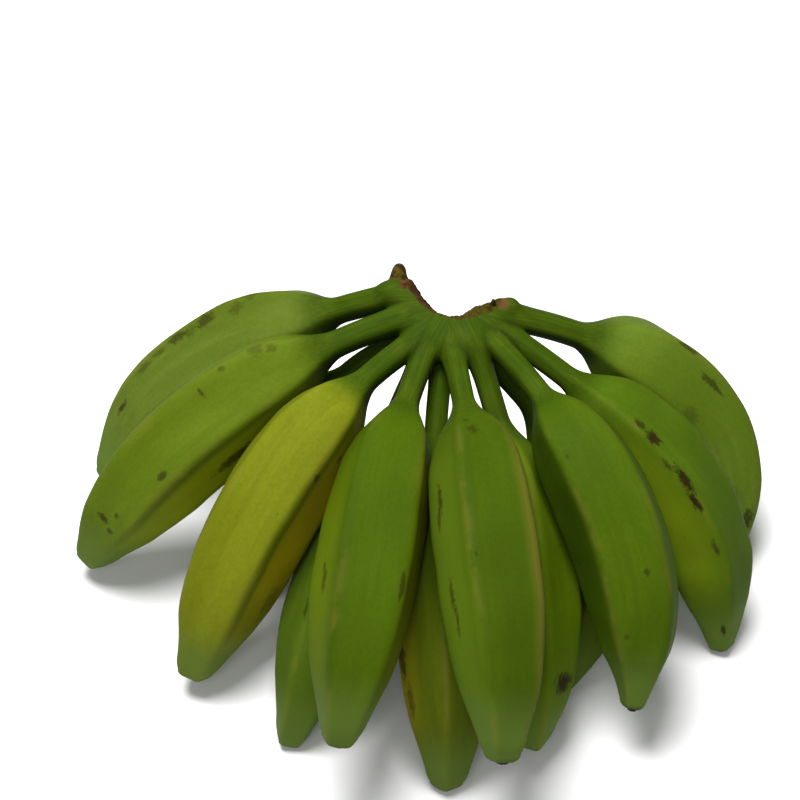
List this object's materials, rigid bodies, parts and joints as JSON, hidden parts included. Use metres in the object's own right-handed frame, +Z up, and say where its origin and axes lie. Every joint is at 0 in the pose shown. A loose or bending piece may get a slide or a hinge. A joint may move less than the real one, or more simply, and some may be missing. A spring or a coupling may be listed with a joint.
{
  "type": "plantain hand",
  "caption": "Hand of green plantains: angular, curved fingers on slim stalks fanning from a curved crown, lying claw-down on their tips.",
  "frame": {"origin": "centre of the bounding box's bottom face, on the surface the finger tips rest on", "axes": "+X to the hand's right seen from the front, +Y from the front finger tips back to the cut crown, +Z up"},
  "size_m": [0.3459, 0.2614, 0.1416],
  "materials": {
    "finger_skin": "satin green peel with fine streaks along each finger, tan ridge lines and brown scars",
    "crown_skin": "satin green stalk skin, with a rusty brown fibrous face where the hand was cut from its stem"
  },
  "bodies": {
    "root": {"crown": "crown_skin", "finger_01": "finger_skin", "finger_02": "finger_skin", "finger_03": "finger_skin", "finger_04": "finger_skin", "finger_05": "finger_skin", "finger_06": "finger_skin", "finger_07": "finger_skin", "finger_08": "finger_skin", "finger_09": "finger_skin", "finger_10": "finger_skin", "finger_11": "finger_skin", "finger_12": "finger_skin", "finger_13": "finger_skin"}
  },
  "joints": []
}
